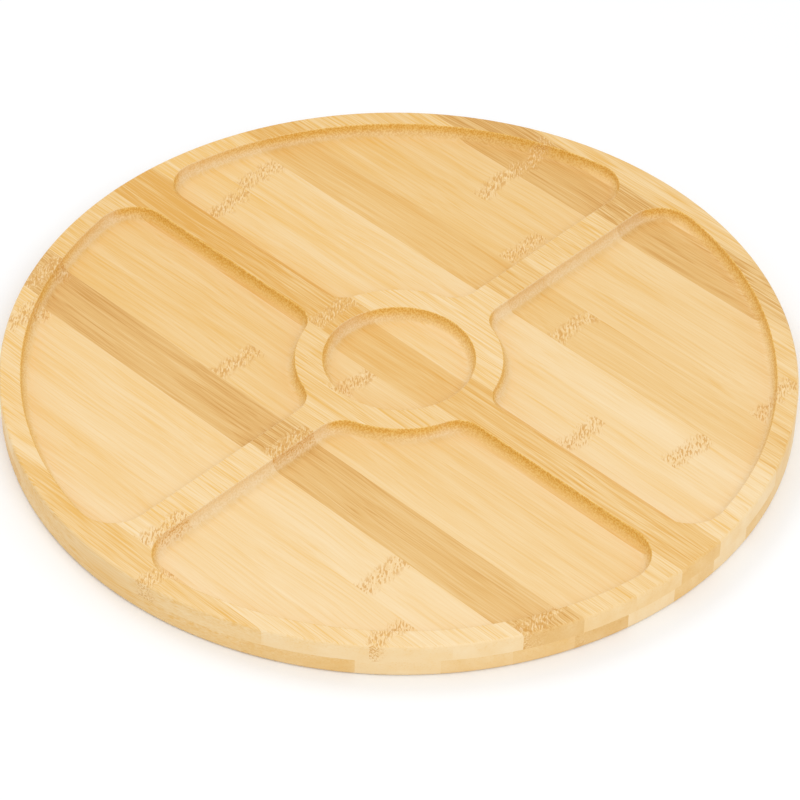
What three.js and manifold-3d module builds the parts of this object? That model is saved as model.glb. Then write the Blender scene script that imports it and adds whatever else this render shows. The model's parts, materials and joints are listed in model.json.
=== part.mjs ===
// Round divided serving board for chips and dips.
// Two plies of glued bamboo strips, with four quarter-ring pockets around a round dip well.
// Millimetres, +Z up. The origin is the centre of the underside, +X runs along the grain.
import * as THREE from 'three';
import { mergeVertices } from 'three/addons/utils/BufferGeometryUtils.js';
import Module from 'manifold-3d';

// ---- Driving dimensions ----
const BOARD_RADIUS = 165;
const BOARD_HEIGHT = 16;
const TOP_EDGE_ROUND = 1.2;
const BOTTOM_EDGE_ROUND = 1.5;

const POCKET_DEPTH = 5.5;
const POCKET_COVE = 4;
const POCKET_RIM_RADIUS = 156;
const POCKET_HUB_RADIUS = 43.4;
const DIVIDER_WIDTH = 14;
const POCKET_CORNER_RADIUS = 16;
const POCKET_TIP_RADIUS = 12;

const DIP_RADIUS = 31.6;
const DIP_DEPTH = 5.5;
const DIP_COVE = 4.5;

const RECESS_EDGE_ROUND = 0.6;

const BOTTOM_PLY_HEIGHT = 8;
const STRIP_WIDTH = 23;
const STRIPS_PER_PLY = 15;
const TOP_PLY_OFFSET = 1;
const BOTTOM_PLY_OFFSET = -2.5;
const GLUE_LINE = 0.1;

// ---- Facet counts ----
const BOARD_SIDES = 96;
const RIM_STEPS = 16;
const HUB_STEPS = 7;
const CORNER_STEPS = 5;
const TIP_STEPS = 4;
const DIP_SIDES = 48;
const COVE_STEPS = 3;
const EDGE_STEPS = 2;

// Cutting tools and strip blocks run past the board by this much.
const OVERRUN = 3;

const QUARTER_TURN = Math.PI / 2;

// Bamboo tones: light to dark strips as they come off the pile.
const BAMBOO_TONES = { pale: 0xecc98a, golden: 0xe5b970, warm: 0xd9a65c, brown: 0xc48f4c };
const BAMBOO_ROUGHNESS = 0.55;

// One tone per strip, from the -Y side of the board to the +Y side.
const TOP_PLY_TONES = [
  'golden', 'pale', 'pale', 'pale', 'brown', 'golden', 'golden', 'warm',
  'pale', 'pale', 'warm', 'golden', 'golden', 'brown', 'golden',
];
const BOTTOM_PLY_TONES = [
  'golden', 'warm', 'pale', 'golden', 'warm', 'brown', 'pale', 'warm',
  'pale', 'warm', 'golden', 'pale', 'golden', 'warm', 'golden',
];

const wasm = await Module();
wasm.setup();

// ---- Between three.js meshes and solids ----
function toSolid(geometry) {
  const bare = geometry.toNonIndexed();
  bare.deleteAttribute('normal');
  bare.deleteAttribute('uv');
  const merged = mergeVertices(bare, 1e-4);
  return new wasm.Manifold(new wasm.Mesh({
    numProp: 3,
    vertProperties: new Float32Array(merged.attributes.position.array),
    triVerts: new Uint32Array(merged.index.array),
  }));
}

function toGeometry(solid) {
  const mesh = solid.getMesh();
  const geometry = new THREE.BufferGeometry();
  geometry.setAttribute('position', new THREE.BufferAttribute(mesh.vertProperties, mesh.numProp));
  geometry.setIndex(new THREE.BufferAttribute(mesh.triVerts, 1));
  geometry.computeVertexNormals();
  return geometry;
}

// ---- Curves ----
// Points along an arc; the last point is left to whatever follows when open is true.
function arc(centreX, centreY, radius, from, to, steps, open = false) {
  const points = [];
  for (let i = 0; i < (open ? steps : steps + 1); i += 1) {
    const angle = from + ((to - from) * i) / steps;
    points.push(new THREE.Vector2(
      centreX + radius * Math.cos(angle),
      centreY + radius * Math.sin(angle),
    ));
  }
  return points;
}

// How a recess wall runs from floor to top face: inset from the wall line, and height.
// A cove rises from the floor, and a small round eases the edge at the top face.
function wallProfile(depth, cove) {
  const floor = BOARD_HEIGHT - depth;
  const coveArc = arc(cove, floor + cove, cove, -QUARTER_TURN, -2 * QUARTER_TURN, COVE_STEPS);
  const edgeZ = BOARD_HEIGHT - RECESS_EDGE_ROUND;
  const edgeArc = arc(-RECESS_EDGE_ROUND, edgeZ, RECESS_EDGE_ROUND, 0, QUARTER_TURN, EDGE_STEPS);
  const above = new THREE.Vector2(-RECESS_EDGE_ROUND, BOARD_HEIGHT + OVERRUN);
  return [...coveArc, ...edgeArc, above];
}

// Outline of the +X +Y pocket, drawn inwards from its wall line by inset.
function pocketOutline(inset) {
  const wall = DIVIDER_WIDTH / 2;
  const corner = POCKET_CORNER_RADIUS - inset;
  const tip = POCKET_TIP_RADIUS - inset;
  const cornerNear = wall + POCKET_CORNER_RADIUS;
  const cornerFar = Math.sqrt((POCKET_RIM_RADIUS - POCKET_CORNER_RADIUS) ** 2 - cornerNear ** 2);
  const cornerAngle = Math.atan2(cornerNear, cornerFar);
  const tipNear = wall + POCKET_TIP_RADIUS;
  const tipFar = Math.sqrt((POCKET_HUB_RADIUS + POCKET_TIP_RADIUS) ** 2 - tipNear ** 2);
  const tipAngle = Math.atan2(tipNear, tipFar);
  const rimEnd = QUARTER_TURN - cornerAngle;
  const hubEnd = QUARTER_TURN - tipAngle;
  return [
    ...arc(cornerFar, cornerNear, corner, -QUARTER_TURN, cornerAngle, CORNER_STEPS, true),
    ...arc(0, 0, POCKET_RIM_RADIUS - inset, cornerAngle, rimEnd, RIM_STEPS, true),
    ...arc(cornerNear, cornerFar, corner, rimEnd, 2 * QUARTER_TURN, CORNER_STEPS),
    ...arc(tipNear, tipFar, tip, 2 * QUARTER_TURN, 2 * QUARTER_TURN + hubEnd, TIP_STEPS, true),
    ...arc(0, 0, POCKET_HUB_RADIUS + inset, hubEnd, tipAngle, HUB_STEPS, true),
    ...arc(tipFar, tipNear, tip, 2 * QUARTER_TURN + tipAngle, 3 * QUARTER_TURN, TIP_STEPS),
  ];
}

// ---- Cutting tools ----
// Closed loft through outlines that all have the same number of points.
function loft(levels) {
  const count = levels[0].outline.length;
  const positions = levels.flatMap(({ outline, z }) => outline.flatMap((p) => [p.x, p.y, z]));
  const faces = [];
  for (let level = 0; level < levels.length - 1; level += 1) {
    for (let i = 0; i < count; i += 1) {
      const low = level * count + i;
      const lowNext = level * count + ((i + 1) % count);
      faces.push(low, lowNext, lowNext + count, low, lowNext + count, low + count);
    }
  }
  const top = (levels.length - 1) * count;
  for (const [a, b, c] of THREE.ShapeUtils.triangulateShape(levels[0].outline, [])) {
    faces.push(a, c, b);
  }
  for (const [a, b, c] of THREE.ShapeUtils.triangulateShape(levels.at(-1).outline, [])) {
    faces.push(top + a, top + b, top + c);
  }
  const geometry = new THREE.BufferGeometry();
  geometry.setAttribute('position', new THREE.Float32BufferAttribute(positions, 3));
  geometry.setIndex(faces);
  return geometry;
}

function makePocketCutter(quarter) {
  const profile = wallProfile(POCKET_DEPTH, POCKET_COVE);
  const levels = profile.map((p) => ({ outline: pocketOutline(p.x), z: p.y }));
  return toSolid(loft(levels).rotateZ(quarter * QUARTER_TURN));
}

function makeDipCutter() {
  const profile = wallProfile(DIP_DEPTH, DIP_COVE);
  const sides = profile.map((p) => new THREE.Vector2(DIP_RADIUS - p.x, p.y));
  const floorCentre = new THREE.Vector2(0, profile[0].y);
  const topCentre = new THREE.Vector2(0, profile.at(-1).y);
  const lathe = new THREE.LatheGeometry([floorCentre, ...sides, topCentre], DIP_SIDES);
  return toSolid(lathe.rotateX(QUARTER_TURN));
}

// ---- The board before it is divided into strips ----
function makeBoardBlank() {
  const bottomX = BOARD_RADIUS - BOTTOM_EDGE_ROUND;
  const topX = BOARD_RADIUS - TOP_EDGE_ROUND;
  const topZ = BOARD_HEIGHT - TOP_EDGE_ROUND;
  const profile = [
    new THREE.Vector2(0, 0),
    ...arc(bottomX, BOTTOM_EDGE_ROUND, BOTTOM_EDGE_ROUND, -QUARTER_TURN, 0, EDGE_STEPS),
    ...arc(topX, topZ, TOP_EDGE_ROUND, 0, QUARTER_TURN, EDGE_STEPS),
    new THREE.Vector2(0, BOARD_HEIGHT),
  ];
  return toSolid(new THREE.LatheGeometry(profile, BOARD_SIDES).rotateX(QUARTER_TURN));
}

function makeBoard() {
  let board = makeBoardBlank().subtract(makeDipCutter());
  for (let quarter = 0; quarter < 4; quarter += 1) {
    board = board.subtract(makePocketCutter(quarter));
  }
  return board;
}

// ---- Strips ----
// The slab of space that one strip fills: one strip width across the grain, one ply high.
function stripBlock(index, offset, lowZ, highZ) {
  const length = 2 * (BOARD_RADIUS + OVERRUN);
  const centreY = offset + (index - (STRIPS_PER_PLY - 1) / 2) * STRIP_WIDTH;
  const block = new THREE.BoxGeometry(length, STRIP_WIDTH - GLUE_LINE, highZ - lowZ);
  return toSolid(block.translate(0, centreY, (lowZ + highZ) / 2));
}

function makeStrip(board, name, block, tone) {
  const material = new THREE.MeshStandardMaterial({
    color: BAMBOO_TONES[tone],
    roughness: BAMBOO_ROUGHNESS,
    metalness: 0,
  });
  const strip = new THREE.Mesh(toGeometry(board.intersect(block)), material);
  strip.name = name;
  return strip;
}

function makePly(board, plyName, offset, lowZ, highZ, tones) {
  const ply = new THREE.Group();
  for (let index = 0; index < STRIPS_PER_PLY; index += 1) {
    const name = `${plyName}_strip_${String(index + 1).padStart(2, '0')}`;
    const block = stripBlock(index, offset, lowZ, highZ);
    ply.add(makeStrip(board, name, block, tones[index]));
  }
  return ply;
}

const board = makeBoard();
const topPlyLow = BOTTOM_PLY_HEIGHT + GLUE_LINE / 2;
const bottomPlyHigh = BOTTOM_PLY_HEIGHT - GLUE_LINE / 2;
const aboveBoard = BOARD_HEIGHT + OVERRUN;

const server = new THREE.Group();
server.add(makePly(board, 'top_ply', TOP_PLY_OFFSET, topPlyLow, aboveBoard, TOP_PLY_TONES));
server.add(makePly(board, 'bottom_ply', BOTTOM_PLY_OFFSET, -OVERRUN, bottomPlyHigh, BOTTOM_PLY_TONES));

export default server;
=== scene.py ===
# %% [markdown]
# # A round divided serving board in laminated bamboo
#
# The real board is glued up from two plies of side-by-side bamboo strips, turned round, and then
# routed: four quarter-ring pockets and one round dip well are cut into the top ply. Everything that
# catches the eye comes from those steps: strips of different tone that run straight through rim,
# wall and floor, long fibres on top, fibre ends on walls that cross the grain, and culm nodes.
#
# The lesson follows the same order. We turn a blank, shape the router's cutting tools, rout the
# blank, saw the result into its strips, and then make one bamboo finish that every strip wears.

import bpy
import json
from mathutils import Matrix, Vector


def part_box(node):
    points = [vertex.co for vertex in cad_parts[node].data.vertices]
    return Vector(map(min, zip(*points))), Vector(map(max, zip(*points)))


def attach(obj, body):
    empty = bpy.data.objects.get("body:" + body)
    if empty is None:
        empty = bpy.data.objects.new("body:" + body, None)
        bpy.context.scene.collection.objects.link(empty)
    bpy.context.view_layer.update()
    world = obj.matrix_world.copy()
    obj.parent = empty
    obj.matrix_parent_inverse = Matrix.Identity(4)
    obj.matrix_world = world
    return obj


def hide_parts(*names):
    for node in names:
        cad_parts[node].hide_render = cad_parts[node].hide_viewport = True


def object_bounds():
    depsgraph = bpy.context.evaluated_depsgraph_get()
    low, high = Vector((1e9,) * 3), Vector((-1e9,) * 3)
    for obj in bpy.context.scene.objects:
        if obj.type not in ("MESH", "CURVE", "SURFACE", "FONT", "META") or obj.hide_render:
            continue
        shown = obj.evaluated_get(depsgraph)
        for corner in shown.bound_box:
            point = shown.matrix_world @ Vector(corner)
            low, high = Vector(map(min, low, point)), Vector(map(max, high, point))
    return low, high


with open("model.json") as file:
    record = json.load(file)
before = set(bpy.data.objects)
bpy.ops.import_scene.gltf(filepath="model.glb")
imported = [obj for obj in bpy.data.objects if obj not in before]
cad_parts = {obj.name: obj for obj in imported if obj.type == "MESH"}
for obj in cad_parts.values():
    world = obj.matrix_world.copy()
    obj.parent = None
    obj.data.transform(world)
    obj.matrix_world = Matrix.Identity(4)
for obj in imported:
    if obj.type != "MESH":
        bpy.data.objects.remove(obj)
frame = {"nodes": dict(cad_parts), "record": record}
cad_low, cad_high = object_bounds()
print("frame:", len(frame["nodes"]), "strips, box", tuple(cad_low), tuple(cad_high))

# %% Imports and shared units
import json
import math

import bmesh
import bpy
from mathutils import Quaternion, Vector

MM = 0.001
QUARTER_TURN = math.pi / 2

# %% [markdown]
# ## Camera
#
# A camera aimed by named angles is easier to trust than one placed by raw numbers. This one stands
# off one side of the grain, about 42 degrees above the table, with a long lens so that the circle
# keeps its shape. It aims a little nearer than the board's centre, which sets the board high in the
# frame, and it is rolled by less than a degree.

# %% Camera
CAMERA_TURN = math.radians(43.9)
CAMERA_BACK = 1.0988
CAMERA_RISE = 0.9851
CAMERA_ROLL = math.radians(0.83)
CAMERA_LENS = 160.5
AIM_RIGHT = 0.0006
AIM_NEARER = 0.0260


def beside_board(right, nearer, up):
    """A point given as the camera's operator sees it: to the right, nearer, and above the top face."""
    x = right * math.cos(CAMERA_TURN) + nearer * math.sin(CAMERA_TURN)
    y = right * math.sin(CAMERA_TURN) - nearer * math.cos(CAMERA_TURN)
    return Vector((x, y, cad_high.z + up))


def make_camera():
    camera = bpy.data.objects.new("camera", bpy.data.cameras.new("camera"))
    bpy.context.scene.collection.objects.link(camera)
    camera.data.lens = CAMERA_LENS
    camera.location = beside_board(0, CAMERA_BACK, CAMERA_RISE)
    look = beside_board(AIM_RIGHT, AIM_NEARER, 0) - camera.location
    camera.rotation_mode = "QUATERNION"
    camera.rotation_quaternion = look.to_track_quat("-Z", "Y") @ Quaternion((0, 0, 1), CAMERA_ROLL)
    return camera


bpy.context.scene.camera = make_camera()
print("camera at", tuple(round(v, 3) for v in bpy.context.scene.camera.location))

# %% [markdown]
# ## Outlines
#
# Every recess on this board has the same wall: a cove that rises from the floor, and a small round
# that eases the edge at the top face. So one profile serves them all. It is a list of pairs: how far
# the wall has moved in from its line, and how high it is. The pocket outline is worked out from
# arcs that touch each other, and drawing it with an inset moves every arc the right way.

# %% Driving sizes
BOARD_RADIUS = (cad_high.x - cad_low.x) / 2
BOARD_HEIGHT = cad_high.z
TOP_EDGE_ROUND = 1.2 * MM
BOTTOM_EDGE_ROUND = 1.5 * MM
RECESS_EDGE_ROUND = 0.6 * MM
POCKET_COVE = 4 * MM
DIP_COVE = 4.5 * MM
RECESS_FLOOR = next(m["pos_m"][2] for m in frame["record"]["mounts"] if m["name"] == "dip_floor")
POCKET_RIM_RADIUS = 156 * MM
POCKET_HUB_RADIUS = 43.4 * MM
POCKET_CORNER_RADIUS = 16 * MM
POCKET_TIP_RADIUS = 12 * MM
DIVIDER_HALF = 7 * MM
DIP_RADIUS = 31.6 * MM
OVERRUN = 3 * MM
print("recess depth", round((BOARD_HEIGHT - RECESS_FLOOR) / MM, 2), "mm")

# %% Arcs, the wall profile and the pocket outline
def arc(centre, radius, start, end, steps, leave_last=False):
    """Points along an arc; the last point may be left to the arc that follows."""
    points = []
    for i in range(steps if leave_last else steps + 1):
        angle = start + (end - start) * i / steps
        points.append((centre[0] + radius * math.cos(angle), centre[1] + radius * math.sin(angle)))
    return points


def wall_profile(cove):
    """(inset, height) pairs up a recess wall, from the edge of the floor to above the board."""
    edge_centre = (-RECESS_EDGE_ROUND, BOARD_HEIGHT - RECESS_EDGE_ROUND)
    foot = arc((cove, RECESS_FLOOR + cove), cove, -QUARTER_TURN, -2 * QUARTER_TURN, 14)
    edge = arc(edge_centre, RECESS_EDGE_ROUND, 0, QUARTER_TURN, 6)
    return foot + edge + [(-RECESS_EDGE_ROUND, BOARD_HEIGHT + OVERRUN)]


def pocket_outline(inset):
    """The pocket between +X and +Y: outer corner, rim, outer corner, tip, hub, tip."""
    near, tip_near = DIVIDER_HALF + POCKET_CORNER_RADIUS, DIVIDER_HALF + POCKET_TIP_RADIUS
    far = math.sqrt((POCKET_RIM_RADIUS - POCKET_CORNER_RADIUS) ** 2 - near**2)
    tip_far = math.sqrt((POCKET_HUB_RADIUS + POCKET_TIP_RADIUS) ** 2 - tip_near**2)
    corner, tip = POCKET_CORNER_RADIUS - inset, POCKET_TIP_RADIUS - inset
    turn, tip_turn = math.atan2(near, far), math.atan2(tip_near, tip_far)
    half_turn = 2 * QUARTER_TURN
    return (
        arc((far, near), corner, -QUARTER_TURN, turn, 24, leave_last=True)
        + arc((0, 0), POCKET_RIM_RADIUS - inset, turn, QUARTER_TURN - turn, 72, leave_last=True)
        + arc((near, far), corner, QUARTER_TURN - turn, half_turn, 24)
        + arc((tip_near, tip_far), tip, half_turn, 3 * QUARTER_TURN - tip_turn, 16, leave_last=True)
        + arc((0, 0), POCKET_HUB_RADIUS + inset, QUARTER_TURN - tip_turn, tip_turn, 32, leave_last=True)
        + arc((tip_far, tip_near), tip, half_turn + tip_turn, 3 * QUARTER_TURN, 16)
    )


def circle(radius, sides):
    return arc((0, 0), radius, 0, 4 * QUARTER_TURN, sides, leave_last=True)


print("pocket outline:", len(pocket_outline(0)), "points")

# %% [markdown]
# ## Blank and cutting tools
#
# A loft joins outlines that have the same number of points, level by level, and closes the two ends
# with flat faces. The turned blank, the pocket tool and the dip tool are all lofts. We keep them as
# hidden helper objects and let Geometry Nodes do the routing.

# %% Lofts
def loft(name, levels):
    """A closed mesh through (outline, height) levels, lowest level first."""
    count = len(levels[0][0])
    points = [(x, y, z) for outline, z in levels for x, y in outline]
    faces = [tuple(reversed(range(count)))]
    for level in range(len(levels) - 1):
        for i in range(count):
            low, low_next = level * count + i, level * count + (i + 1) % count
            faces.append((low, low_next, low_next + count, low + count))
    last = (len(levels) - 1) * count
    faces.append(tuple(range(last, last + count)))
    mesh = bpy.data.meshes.new(name)
    mesh.from_pydata(points, [], faces)
    return bpy.data.objects.new(name, mesh)


def make_blank():
    foot = (BOARD_RADIUS - BOTTOM_EDGE_ROUND, BOTTOM_EDGE_ROUND)
    brow = (BOARD_RADIUS - TOP_EDGE_ROUND, BOARD_HEIGHT - TOP_EDGE_ROUND)
    profile = arc(foot, BOTTOM_EDGE_ROUND, -QUARTER_TURN, 0, 8)
    profile += arc(brow, TOP_EDGE_ROUND, 0, QUARTER_TURN, 8)
    return loft("blank", [(circle(radius, 384), z) for radius, z in profile])


blank = make_blank()
pocket_levels = [(pocket_outline(inset), z) for inset, z in wall_profile(POCKET_COVE)]
pocket_tool = loft("pocket_tool", pocket_levels)
dip_levels = [(circle(DIP_RADIUS - inset, 128), z) for inset, z in wall_profile(DIP_COVE)]
dip_tool = loft("dip_tool", dip_levels)
for tool in (blank, pocket_tool, dip_tool):
    print(tool.name, len(tool.data.polygons), "faces")

# %% [markdown]
# ## Helpers for node trees
#
# Node trees are easier to read when a node is made in one line. `add_node` sets a node's properties
# and fills its inputs, with a number where a number is given and a link where a socket is given.

# %% Node helpers
def add_node(tree, kind, inputs=None, **settings):
    node = tree.nodes.new(kind)
    for name, value in settings.items():
        setattr(node, name, value)
    for key, value in (inputs or {}).items():
        if isinstance(value, bpy.types.NodeSocket):
            tree.links.new(value, node.inputs[key])
        else:
            node.inputs[key].default_value = value
    return node


def add_input(tree, name, kind, default=None):
    """Adds a named input to a tree's interface and returns its identifier."""
    socket = tree.interface.new_socket(name, in_out="INPUT", socket_type="NodeSocket" + kind)
    if default is not None:
        socket.default_value = default
    return socket.identifier


# %% [markdown]
# ## Routing the blank
#
# The four pockets are one tool turned by quarter turns, which is a job for instances: four points at
# the centre, each carrying the tool, turned by its own index. The tree makes the instances real and
# takes them and the dip tool out of the blank with one boolean.

# %% Geometry Nodes: rout the pockets and the dip well
POCKET_COUNT = 4


def make_routing_tree():
    tree = bpy.data.node_groups.new("Rout the board", "GeometryNodeTree")
    tree.interface.new_socket("Board", in_out="OUTPUT", socket_type="NodeSocketGeometry")
    add_input(tree, "Blank", "Geometry")
    ids = {name: add_input(tree, name, "Object") for name in ("Pocket tool", "Dip tool")}
    ids["Pockets"] = add_input(tree, "Pockets", "Int", POCKET_COUNT)
    given = tree.nodes.new("NodeGroupInput").outputs
    tool = add_node(tree, "GeometryNodeObjectInfo", {"Object": given["Pocket tool"]})
    points = add_node(tree, "GeometryNodePoints", {"Count": given["Pockets"]})
    index = tree.nodes.new("GeometryNodeInputIndex")
    turn = add_node(tree, "ShaderNodeMath", {0: index.outputs[0], 1: QUARTER_TURN}, operation="MULTIPLY")
    turned = add_node(tree, "ShaderNodeCombineXYZ", {"Z": turn.outputs[0]})
    copies = add_node(tree, "GeometryNodeInstanceOnPoints", {
        "Points": points.outputs[0], "Instance": tool.outputs["Geometry"], "Rotation": turned.outputs[0],
    })
    real = add_node(tree, "GeometryNodeRealizeInstances", {"Geometry": copies.outputs[0]})
    dip = add_node(tree, "GeometryNodeObjectInfo", {"Object": given["Dip tool"]})
    cut = add_node(tree, "GeometryNodeMeshBoolean", {"Mesh 1": given["Blank"]},
                   operation="DIFFERENCE", solver="MANIFOLD")
    tree.links.new(real.outputs[0], cut.inputs["Mesh 2"])
    tree.links.new(dip.outputs["Geometry"], cut.inputs["Mesh 2"])
    finish = add_node(tree, "GeometryNodeRealizeInstances", {"Geometry": cut.outputs["Mesh"]})
    tree.links.new(finish.outputs[0], tree.nodes.new("NodeGroupOutput").inputs["Board"])
    return tree, ids


def run_tree(carrier, tree, values):
    """Runs a tree on a carrier object and returns what it makes as a plain mesh."""
    bpy.context.scene.collection.objects.link(carrier)
    modifier = carrier.modifiers.new(tree.name, "NODES")
    modifier.node_group = tree
    for identifier, value in values.items():
        modifier[identifier] = value
    evaluated = carrier.evaluated_get(bpy.context.evaluated_depsgraph_get())
    mesh = bpy.data.meshes.new_from_object(evaluated)
    carrier.modifiers.remove(modifier)
    bpy.context.scene.collection.objects.unlink(carrier)
    return mesh


routing_tree, routing_ids = make_routing_tree()
routed_board = bpy.data.objects.new("routed_board", run_tree(blank, routing_tree, {
    routing_ids["Pocket tool"]: pocket_tool,
    routing_ids["Dip tool"]: dip_tool,
    routing_ids["Pockets"]: POCKET_COUNT,
}))
print("routed board:", len(routed_board.data.polygons), "faces")

# %% [markdown]
# ## Sawing the board into its strips
#
# On the real board the strips came first and the routing last. Here it is easier to work backwards:
# each strip is the part of the routed board inside one long block, so neighbours meet exactly and
# every wall runs on from strip to strip. One tree saws out any strip. It also writes what the finish
# needs to know about the strip into named attributes: a seed, a tint, how high in its ply each point
# lies, and where along the strip its culm nodes are.

# %% Geometry Nodes: saw out one strip
STRIP_ATTRIBUTES = {
    "strip_seed": "FLOAT",
    "strip_tint": "FLOAT",
    "strip_rise": "FLOAT",
    "strip_culms": "FLOAT_VECTOR",
}


def make_sawing_tree():
    tree = bpy.data.node_groups.new("Saw out one strip", "GeometryNodeTree")
    tree.interface.new_socket("Strip", in_out="OUTPUT", socket_type="NodeSocketGeometry")
    add_input(tree, "Board", "Geometry")
    ids = {name: add_input(tree, name, "Vector") for name in ("Low corner", "High corner", "Culms")}
    ids.update({name: add_input(tree, name, "Float") for name in ("Seed", "Tint")})
    ids["Finish"] = add_input(tree, "Finish", "Material")
    given = tree.nodes.new("NodeGroupInput").outputs
    corners = {0: given["High corner"], 1: given["Low corner"]}
    size = add_node(tree, "ShaderNodeVectorMath", corners, operation="SUBTRACT")
    total = add_node(tree, "ShaderNodeVectorMath", corners, operation="ADD")
    middle = add_node(tree, "ShaderNodeVectorMath", {0: total.outputs[0], "Scale": 0.5},
                      operation="SCALE")
    cube = add_node(tree, "GeometryNodeMeshCube", {"Size": size.outputs[0]})
    block = add_node(tree, "GeometryNodeTransform",
                     {"Geometry": cube.outputs["Mesh"], "Translation": middle.outputs[0]})
    sawn = add_node(tree, "GeometryNodeMeshBoolean", operation="INTERSECT", solver="MANIFOLD")
    tree.links.new(given["Board"], sawn.inputs["Mesh 2"])
    tree.links.new(block.outputs[0], sawn.inputs["Mesh 2"])
    position = tree.nodes.new("GeometryNodeInputPosition")
    inward = {0: position.outputs[0], 1: given["Low corner"]}
    inward = add_node(tree, "ShaderNodeVectorMath", inward, operation="SUBTRACT").outputs[0]
    share = add_node(tree, "ShaderNodeVectorMath", {0: inward, 1: size.outputs[0]}, operation="DIVIDE")
    height_share = add_node(tree, "ShaderNodeSeparateXYZ", {0: share.outputs[0]}).outputs["Z"]
    values = {
        "strip_seed": given["Seed"], "strip_tint": given["Tint"],
        "strip_rise": height_share, "strip_culms": given["Culms"],
    }
    geometry = sawn.outputs["Mesh"]
    for name, kind in STRIP_ATTRIBUTES.items():
        stored = add_node(tree, "GeometryNodeStoreNamedAttribute", {"Geometry": geometry, "Name": name},
                          data_type=kind, domain="POINT")
        tree.links.new(values[name], stored.inputs["Value"])
        geometry = stored.outputs[0]
    real = add_node(tree, "GeometryNodeRealizeInstances", {"Geometry": geometry})
    finish = {"Geometry": real.outputs[0], "Material": given["Finish"]}
    wear = add_node(tree, "GeometryNodeSetMaterial", finish)
    tree.links.new(wear.outputs[0], tree.nodes.new("NodeGroupOutput").inputs["Strip"])
    return tree, ids


sawing_tree, sawing_ids = make_sawing_tree()
print("sawing inputs:", ", ".join(sawing_ids))

# %% [markdown]
# ## Shader helpers
#
# The bamboo finish is mostly arithmetic on patterns, so it gets a few short helpers of its own. Each
# returns a socket, ready to be used as an input of the next node.

# %% Short names for common shader nodes
def maths(tree, operation, *values):
    return add_node(tree, "ShaderNodeMath", dict(enumerate(values)), operation=operation).outputs[0]


def vector_maths(tree, operation, *values):
    values = dict(enumerate(values))
    return add_node(tree, "ShaderNodeVectorMath", values, operation=operation).outputs[0]


def ease(tree, value, start, end):
    """0 at start, 1 at end, with a soft beginning and finish."""
    spread = {"Value": value, "From Min": start, "From Max": end}
    return add_node(tree, "ShaderNodeMapRange", spread, interpolation_type="SMOOTHSTEP").outputs[0]


def mix_colours(tree, share, first, second):
    mix = add_node(tree, "ShaderNodeMix", {"Factor": share}, data_type="RGBA")
    for name, colour in (("A", first), ("B", second)):
        socket = next(i for i in mix.inputs if i.name == name and i.type == "RGBA")
        if isinstance(colour, bpy.types.NodeSocket):
            tree.links.new(colour, socket)
        else:
            socket.default_value = (*colour, 1)
    return next(o for o in mix.outputs if o.type == "RGBA")


def long_noise(tree, place, per_mm, detail=2.0, roughness=0.5, offset=0.0):
    """Noise whose grains are as long and wide as the three frequencies say. It averages 0.5."""
    scaled = add_node(tree, "ShaderNodeVectorMath",
                      {0: place, 1: per_mm, 2: (offset, offset, offset)}, operation="MULTIPLY_ADD")
    noise = {"Vector": scaled.outputs[0], "Scale": 1.0, "Detail": detail, "Roughness": roughness}
    return add_node(tree, "ShaderNodeTexNoise", noise).outputs[0]


def new_group(name, inputs, outputs):
    """A shader node group, with its input sockets and its output sockets to fill."""
    group = bpy.data.node_groups.new(name, "ShaderNodeTree")
    for label, kind, default in inputs:
        add_input(group, label, kind, default)
    for label, kind in outputs:
        group.interface.new_socket(label, in_out="OUTPUT", socket_type="NodeSocket" + kind)
    given = group.nodes.new("NodeGroupInput").outputs
    return group, given, group.nodes.new("NodeGroupOutput").inputs


def place_group(tree, group, inputs):
    node = tree.nodes.new("ShaderNodeGroup")
    node.node_tree = group
    for name, value in inputs.items():
        if isinstance(value, bpy.types.NodeSocket):
            tree.links.new(value, node.inputs[name])
        else:
            node.inputs[name].default_value = value
    return node.outputs


print("shader helpers ready")

# %% [markdown]
# ## Culm nodes
#
# A bamboo stem has a joint every few hundred millimetres. Where a strip crosses one there is a ragged
# band about 10 mm long, the full width of the strip, full of short dark dashes and short bright
# dashes that are painted highlights (glints), and the fibres wander through it. The group is told
# where the strip's culm nodes are, in millimetres, and gives the band, its dark dashes and its
# painted glints as masks.

# %% Shader group: culm nodes
CULM_HALF_LENGTH = 3.4
CULM_WOBBLE = 10.0
CULM_SLANT = math.radians(48)
DASHES_PER_MM = (0.42, 1.5, 1.5)
DASH_OFFSET = 7.0
PAINTED_GLINT_OFFSET = 31.0


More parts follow.
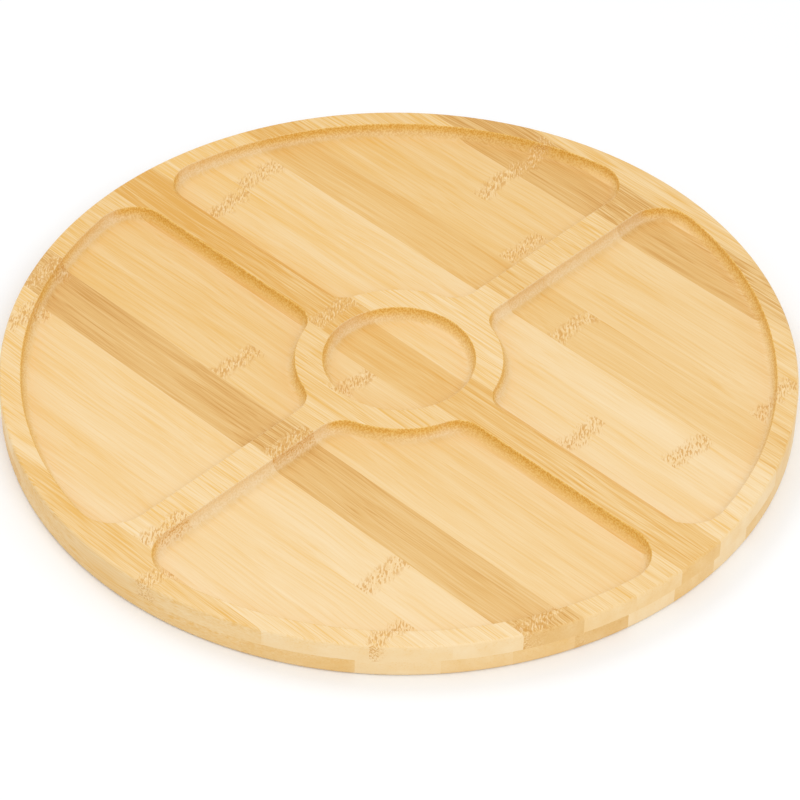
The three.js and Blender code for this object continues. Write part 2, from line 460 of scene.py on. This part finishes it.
def make_culm_group():
    group, given, made = new_group(
        "Culm nodes",
        [("Place", "Vector", None), ("Grown", "Vector", None), ("Culms", "Vector", None)],
        [("Zone", "Float"), ("Dashes", "Float"), ("Glints", "Float")],
    )
    along = add_node(group, "ShaderNodeSeparateXYZ", {0: given["Place"]}).outputs["X"]
    ragged = long_noise(group, given["Grown"], (0.02, 0.16, 0.16), detail=3.0)
    wobble = maths(group, "MULTIPLY", maths(group, "SUBTRACT", ragged, 0.5), CULM_WOBBLE)
    moved = maths(group, "ADD", along, wobble)
    culms = add_node(group, "ShaderNodeSeparateXYZ", {0: given["Culms"]}).outputs
    gaps = [maths(group, "ABSOLUTE", maths(group, "SUBTRACT", moved, culm)) for culm in culms]
    nearest = maths(group, "MINIMUM", maths(group, "MINIMUM", gaps[0], gaps[1]), gaps[2])
    zone = ease(group, nearest, CULM_HALF_LENGTH + 2.5, CULM_HALF_LENGTH - 2)
    slanted = add_node(group, "ShaderNodeVectorRotate", {"Vector": given["Grown"], "Angle": CULM_SLANT},
                       rotation_type="Z_AXIS").outputs[0]
    # The second set of dashes are painted highlights: glints laid into the colour.
    dashes, painted_glints = [
        ease(group, long_noise(group, slanted, DASHES_PER_MM, detail=1.0, offset=offset), 0.50, 0.60)
        for offset in (DASH_OFFSET, PAINTED_GLINT_OFFSET)
    ]
    group.links.new(zone, made["Zone"])
    group.links.new(maths(group, "MULTIPLY", dashes, zone), made["Dashes"])
    group.links.new(maths(group, "MULTIPLY", painted_glints, zone), made["Glints"])
    return group


culm_group = make_culm_group()
print("culm group:", len(culm_group.nodes), "nodes")

# %% [markdown]
# ## Fibres
#
# Bamboo has no growth rings. It has vascular bundles, dark threads about half a millimetre thick
# that run the whole length of the strip and crowd together towards the skin side. A pattern that is
# truly three-dimensional gives the right look on every cut at once: lines on the top, dots on walls
# that cross the grain. So the patterns are solid ones, stretched a hundredfold along the strip.

# %% Shader group: bamboo fibres
def make_fibre_group():
    group, given, made = new_group(
        "Bamboo fibres",
        [("Grown", "Vector", None), ("Zone", "Float", 0.0), ("Rise", "Float", 0.5)],
        [(name, "Float") for name in ("Bands", "Streaks", "Fibres", "Threads", "Bundles")],
    )
    drift = add_node(group, "ShaderNodeTexNoise", {
        "Vector": vector_maths(group, "MULTIPLY", given["Grown"], (0.012, 0.02, 0.02)),
        "Scale": 1.0, "Detail": 1.0,
    }).outputs["Color"]
    swirl = add_node(group, "ShaderNodeTexNoise", {
        "Vector": vector_maths(group, "MULTIPLY", given["Grown"], (0.2, 0.3, 0.3)),
        "Scale": 1.0, "Detail": 1.0,
    }).outputs["Color"]
    centred = vector_maths(group, "SUBTRACT", drift, (0.5, 0.5, 0.5))
    bent = vector_maths(group, "MULTIPLY", centred, (0.0, 5.0, 5.0))
    curl = vector_maths(group, "SUBTRACT", swirl, (0.5, 0.5, 0.5))
    curl = vector_maths(group, "MULTIPLY", curl, (0.0, 6.0, 6.0))
    curl = add_node(group, "ShaderNodeVectorMath", {0: curl, "Scale": given["Zone"]},
                    operation="SCALE").outputs[0]
    place = vector_maths(group, "ADD", vector_maths(group, "ADD", given["Grown"], bent), curl)
    group.links.new(long_noise(group, place, (0.008, 0.11, 0.11)), made["Bands"])
    group.links.new(long_noise(group, place, (0.016, 0.7, 0.7), detail=2.0), made["Streaks"])
    group.links.new(long_noise(group, place, (0.035, 2.0, 2.0), detail=2.0), made["Fibres"])
    crowding = maths(group, "MULTIPLY_ADD", given["Rise"], -0.05, 0.60)
    threads = long_noise(group, place, (0.028, 1.2, 1.2), detail=1.0, offset=17.0)
    group.links.new(ease(group, threads, crowding, maths(group, "ADD", crowding, 0.10)), made["Threads"])
    cells = add_node(group, "ShaderNodeTexVoronoi", {
        "Vector": vector_maths(group, "MULTIPLY", place, (0.02, 1.05, 1.05)), "Scale": 1.0,
    }).outputs["Distance"]
    reach = maths(group, "MULTIPLY_ADD", given["Rise"], 0.2, 0.22)
    bundles = ease(group, cells, reach, maths(group, "MULTIPLY", reach, 0.4))
    group.links.new(bundles, made["Bundles"])
    return group


fibre_group = make_fibre_group()
print("fibre group:", len(fibre_group.nodes), "nodes")

# %% [markdown]
# ## The bamboo finish
#
# One recipe makes all four tones. A tone is three colours, from the palest wood between the bundles
# to the darkest thread, and how strongly the pattern shows. The whole board is painted a little
# browner and darker towards -X, away from the camera and the front lamp, which is painted shade
# and a guess from how it looks. On recess walls that cross the grain the wood is
# cut end-on, so it looks pale and finely knitted, and walls along the grain are amber. The surface
# is satin, with the bundles a little prouder than the wood between them.

# %% Materials: four bamboo tones
BAMBOO_TONES = {
    "pale_bamboo": {
        "light": (0.90, 0.71, 0.44), "body": (0.86, 0.615, 0.305), "dark": (0.82, 0.49, 0.13),
        "contrast": 0.9,
    },
    "golden_bamboo": {
        "light": (0.88, 0.66, 0.36), "body": (0.83, 0.56, 0.24), "dark": (0.78, 0.44, 0.09),
        "contrast": 1.0,
    },
    "warm_bamboo": {
        "light": (0.86, 0.62, 0.31), "body": (0.80, 0.51, 0.185), "dark": (0.73, 0.38, 0.065),
        "contrast": 1.1,
    },
    "brown_bamboo": {
        "light": (0.82, 0.57, 0.26), "body": (0.745, 0.45, 0.145), "dark": (0.60, 0.29, 0.05),
        "contrast": 1.4,
    },
}
END_WALL_COLOURS = (0.88, 0.70, 0.46), (0.77, 0.55, 0.29)
AMBER_COLOURS = (0.86, 0.56, 0.15), (0.72, 0.37, 0.04)
CULM_COLOUR = (0.80, 0.50, 0.18)
PAINTED_GLINT_COLOUR = (0.92, 0.72, 0.42)
DASH_COLOUR = (0.64, 0.31, 0.05)
BAND_WEIGHT = 0.8
STREAK_WEIGHT = 1.1
FIBRE_WEIGHT = 1.7
THREAD_WEIGHT = 0.35
FAR_SIDE_PAINTED_SHADE_WEIGHT = 0.3
TINT_WEIGHT = 0.2
GROWN_STEP = (317.0, 53.1, 29.7)


def attribute(tree, name, output="Fac"):
    return add_node(tree, "ShaderNodeAttribute", attribute_name=name).outputs[output]


def router_walls(tree, place, faces):
    """1 on the walls of the recesses, 0 on flat faces and on the board's own edge."""
    level = vector_maths(tree, "MULTIPLY", place, (1, 1, 0))
    radius = add_node(tree, "ShaderNodeVectorMath", {0: level}, operation="LENGTH").outputs["Value"]
    inside = ease(tree, radius, 160, 158)
    steep = ease(tree, faces.outputs["Z"], 0.99, 0.85)
    return maths(tree, "MULTIPLY", inside, steep)


def make_bamboo(name, tone):
    material = bpy.data.materials.new(name)
    material.use_nodes = True
    tree = material.node_tree
    shader = tree.nodes["Principled BSDF"]
    rise = attribute(tree, "strip_rise")
    metres = tree.nodes.new("ShaderNodeTexCoord").outputs["Object"]
    place = vector_maths(tree, "MULTIPLY", metres, (1 / MM,) * 3)
    shift = add_node(tree, "ShaderNodeVectorMath", {0: GROWN_STEP, "Scale": attribute(tree, "strip_seed")},
                     operation="SCALE").outputs[0]
    grown = vector_maths(tree, "ADD", place, shift)
    culm = place_group(tree, culm_group, {
        "Place": place, "Grown": grown, "Culms": attribute(tree, "strip_culms", "Vector"),
    })
    fibre = place_group(tree, fibre_group, {"Grown": grown, "Zone": culm["Zone"], "Rise": rise})
    normal = tree.nodes.new("ShaderNodeNewGeometry").outputs["Normal"]
    faces = add_node(tree, "ShaderNodeSeparateXYZ", {0: normal})
    end_grain = ease(tree, maths(tree, "ABSOLUTE", faces.outputs["X"]), 0.15, 0.7)
    lengthwise = maths(tree, "MULTIPLY_ADD", end_grain, -0.75, 1.0)
    depth = maths(tree, "MULTIPLY_ADD", ease(tree, rise, 0.25, 1.0), 0.45, 0.45)
    bands, streaks, fine = [
        maths(tree, "MULTIPLY", maths(tree, "SUBTRACT", fibre[pattern], 0.5), weight)
        for pattern, weight in (
            ("Bands", BAND_WEIGHT), ("Streaks", STREAK_WEIGHT), ("Fibres", FIBRE_WEIGHT))
    ]
    fine = maths(tree, "ADD", streaks, fine)
    fine = maths(tree, "MULTIPLY_ADD", fibre["Threads"], THREAD_WEIGHT, fine)
    fine = maths(tree, "MULTIPLY", maths(tree, "MULTIPLY", fine, depth), lengthwise)
    fine = maths(tree, "MULTIPLY", fine, tone["contrast"])
    speckle = maths(tree, "MULTIPLY_ADD", end_grain, 0.08, 0.06)
    dots = maths(tree, "SUBTRACT", fibre["Bundles"], 0.25)
    fine = maths(tree, "MULTIPLY_ADD", dots, speckle, fine)
    shade = maths(tree, "ADD", maths(tree, "ADD", fine, bands), 0.45)
    tint = maths(tree, "MULTIPLY", attribute(tree, "strip_tint"), TINT_WEIGHT)
    shade = maths(tree, "ADD", shade, tint)
    along = add_node(tree, "ShaderNodeSeparateXYZ", {0: place}).outputs["X"]
    # Painted shade: the colour is darkened towards -X, the side away from the camera and the front lamp.
    far_side_painted_shade = maths(tree, "SUBTRACT", ease(tree, along, 160, -160), 0.3)
    shade = maths(tree, "MULTIPLY_ADD", far_side_painted_shade, FAR_SIDE_PAINTED_SHADE_WEIGHT, shade)
    ramp = tree.nodes.new("ShaderNodeValToRGB")
    ramp.color_ramp.elements[0].color = (*tone["light"], 1)
    ramp.color_ramp.elements[1].color = (*tone["dark"], 1)
    ramp.color_ramp.elements.new(0.5).color = (*tone["body"], 1)
    tree.links.new(shade, ramp.inputs[0])
    colour = ramp.outputs["Color"]
    walls = router_walls(tree, place, faces)
    pale_end = maths(tree, "MULTIPLY", maths(tree, "MULTIPLY", end_grain, walls), 0.5)
    specks = add_node(tree, "ShaderNodeTexNoise", {"Vector": grown, "Scale": 1.4, "Detail": 1.0})
    specks = ease(tree, specks.outputs[0], 0.38, 0.62)
    knit = mix_colours(tree, specks, *END_WALL_COLOURS)
    colour = mix_colours(tree, pale_end, colour, knit)
    along_wall = ease(tree, maths(tree, "ABSOLUTE", faces.outputs["Y"]), 0.05, 0.5)
    burnish = maths(tree, "MULTIPLY", along_wall, walls)
    burnish = maths(tree, "MULTIPLY", burnish, ease(tree, rise, 0.1, 0.8))
    amber = mix_colours(tree, specks, *AMBER_COLOURS)
    colour = mix_colours(tree, maths(tree, "MULTIPLY", burnish, 0.9), colour, amber)
    # The culm band and the dark dashes are the wood's own colour; the glints are painted highlights.
    for mask, strength, paint in (
            ("Zone", 0.25, CULM_COLOUR), ("Glints", 0.5, PAINTED_GLINT_COLOUR), ("Dashes", 0.75, DASH_COLOUR)):
        colour = mix_colours(tree, maths(tree, "MULTIPLY", culm[mask], strength), colour, paint)
    tree.links.new(colour, shader.inputs["Base Color"])
    roughness = maths(tree, "MULTIPLY_ADD", fibre["Fibres"], 0.15, 0.42)
    tree.links.new(roughness, shader.inputs["Roughness"])
    height = maths(tree, "MULTIPLY", fibre["Bundles"], 0.3)
    height = maths(tree, "MULTIPLY_ADD", fibre["Fibres"], 0.5, height)
    bump = add_node(tree, "ShaderNodeBump", {"Height": height, "Strength": 0.12, "Distance": 0.0002})
    tree.links.new(bump.outputs[0], shader.inputs["Normal"])
    return material


bamboo = {name: make_bamboo(name, tone) for name, tone in BAMBOO_TONES.items()}
print("bamboo tones:", ", ".join(bamboo))

# %% [markdown]
# ## Thirty strips
#
# Each piece takes its block from the CAD strip that it stands for, grown by half a glue line so that
# neighbours touch, and its tone from the record. The culm nodes are given by strip, as
# millimetres along the board, and a few strips get a tint, which makes them a shade darker (above 0)
# or lighter (below 0) than their tone.

# %% Saw out the strips
GLUE_LINE = 0.1 * MM
TOP_PLY_CULMS = {
    1: (22,), 2: (5,), 3: (107,), 4: (80, -130), 5: (5, -144, 143), 6: (-50,), 7: (-6,), 8: (-40,),
    9: (-127, 81), 10: (-132, 118), 11: (34,), 12: (-16, 125), 13: (-54,), 14: (-54, 118),
}
BOTTOM_PLY_CULMS = {2: (-60,), 4: (35,), 6: (150, -90), 7: (-20,), 9: (70,), 11: (-95, 118), 13: (20,)}
TOP_PLY_TINTS = {7: -0.1, 8: 0.8, 9: 0.4, 12: -0.1}
NO_CULM = 9000.0
SLOT_OF = {part["node"]: part["material_slot"] for part in frame["record"]["subparts"]}


def soften_edges(mesh):
    """Smooth shading, kept crisp where a flat face meets a curved one and along sawn edges."""
    form = bmesh.new()
    form.from_mesh(mesh)
    for face in form.faces:
        face.smooth = True
    for edge in form.edges:
        faces = edge.link_faces
        flat = [max(abs(face.normal.y), abs(face.normal.z)) > 0.99999 for face in faces]
        edge.smooth = len(set(flat)) == 1 and edge.calc_face_angle(0) < math.radians(30)
    form.to_mesh(mesh)
    form.free()


def saw_out(node, number, culms, tint):
    low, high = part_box(node)
    ends = Vector((BOARD_RADIUS + OVERRUN, 0, 0))
    glue = Vector((0, GLUE_LINE / 2, GLUE_LINE / 2))
    middle = Vector((0, (low.y + high.y) / 2, (low.z + high.z) / 2))
    half = Vector((0, (high.y - low.y) / 2, (high.z - low.z) / 2)) + ends + glue
    mesh = run_tree(routed_board, sawing_tree, {
        sawing_ids["Low corner"]: tuple(middle - half),
        sawing_ids["High corner"]: tuple(middle + half),
        sawing_ids["Culms"]: tuple(float(c) for c in (*culms, NO_CULM, NO_CULM, NO_CULM)[:3]),
        sawing_ids["Seed"]: float(number),
        sawing_ids["Tint"]: tint,
        sawing_ids["Finish"]: bamboo[SLOT_OF[node]],
    })
    soften_edges(mesh)
    mesh.name = "bamboo_" + node
    piece = bpy.data.objects.new("bamboo_" + node, mesh)
    bpy.context.scene.collection.objects.link(piece)
    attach(piece, "root")
    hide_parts(node)
    return piece


strips = []
for ply, culm_table, tints, first_seed in (
        ("top", TOP_PLY_CULMS, TOP_PLY_TINTS, 1), ("bottom", BOTTOM_PLY_CULMS, {}, 31)):
    for number in range(1, 16):
        node = f"{ply}_ply_strip_{number:02d}"
        culms, tint = culm_table.get(number, ()), tints.get(number, 0.0)
        strips.append(saw_out(node, first_seed + number, culms, tint))
print(len(strips), "strips,", sum(len(piece.data.polygons) for piece in strips), "faces")

# %% [markdown]
# ## Floor and light
#
# The board lies on a plain white sheet in a very soft studio light: white light from all round, and
# a large lamp high up in front, which makes the near side a little brighter, and another one high up
# behind on the left, which leaves a thin soft shadow along the near edge.

# %% Floor, lamp and surroundings
FLOOR_GAP = 0.2 * MM


def make_floor():
    mesh = bpy.data.meshes.new("floor")
    corners = [(-4, -4, -FLOOR_GAP), (4, -4, -FLOOR_GAP), (4, 4, -FLOOR_GAP), (-4, 4, -FLOOR_GAP)]
    mesh.from_pydata(corners, [], [(0, 1, 2, 3)])
    material = bpy.data.materials.new("white_sheet")
    material.use_nodes = True
    shader = material.node_tree.nodes["Principled BSDF"]
    shader.inputs["Base Color"].default_value = (0.95, 0.965, 0.985, 1)
    shader.inputs["Roughness"].default_value = 0.9
    shader.inputs["Specular IOR Level"].default_value = 0.1
    mesh.materials.append(material)
    floor = bpy.data.objects.new("floor", mesh)
    bpy.context.scene.collection.objects.link(floor)
    return floor


def make_lamp(name, right, nearer, up, width, power):
    data = bpy.data.lights.new(name, "AREA")
    data.shape = "DISK"
    data.size = width
    data.energy = power
    lamp = bpy.data.objects.new(name, data)
    bpy.context.scene.collection.objects.link(lamp)
    lamp.location = beside_board(right, nearer, up)
    lamp.rotation_mode = "QUATERNION"
    lamp.rotation_quaternion = (-lamp.location).to_track_quat("-Z", "Y")
    return lamp


def make_surroundings(strength):
    world = bpy.data.worlds.new("white_studio")
    world.use_nodes = True
    background = world.node_tree.nodes["Background"]
    background.inputs["Color"].default_value = (1, 1, 1, 1)
    background.inputs["Strength"].default_value = strength
    bpy.context.scene.world = world


make_floor()
make_lamp("front_lamp", 0.4, 0.9, 1.2, 1.0, 6.0)
make_lamp("back_lamp", -0.7, -0.8, 1.4, 0.8, 4.5)
make_surroundings(0.80)
bpy.context.scene.view_settings.view_transform = "Standard"
print("floor, lamp and surroundings are in place")
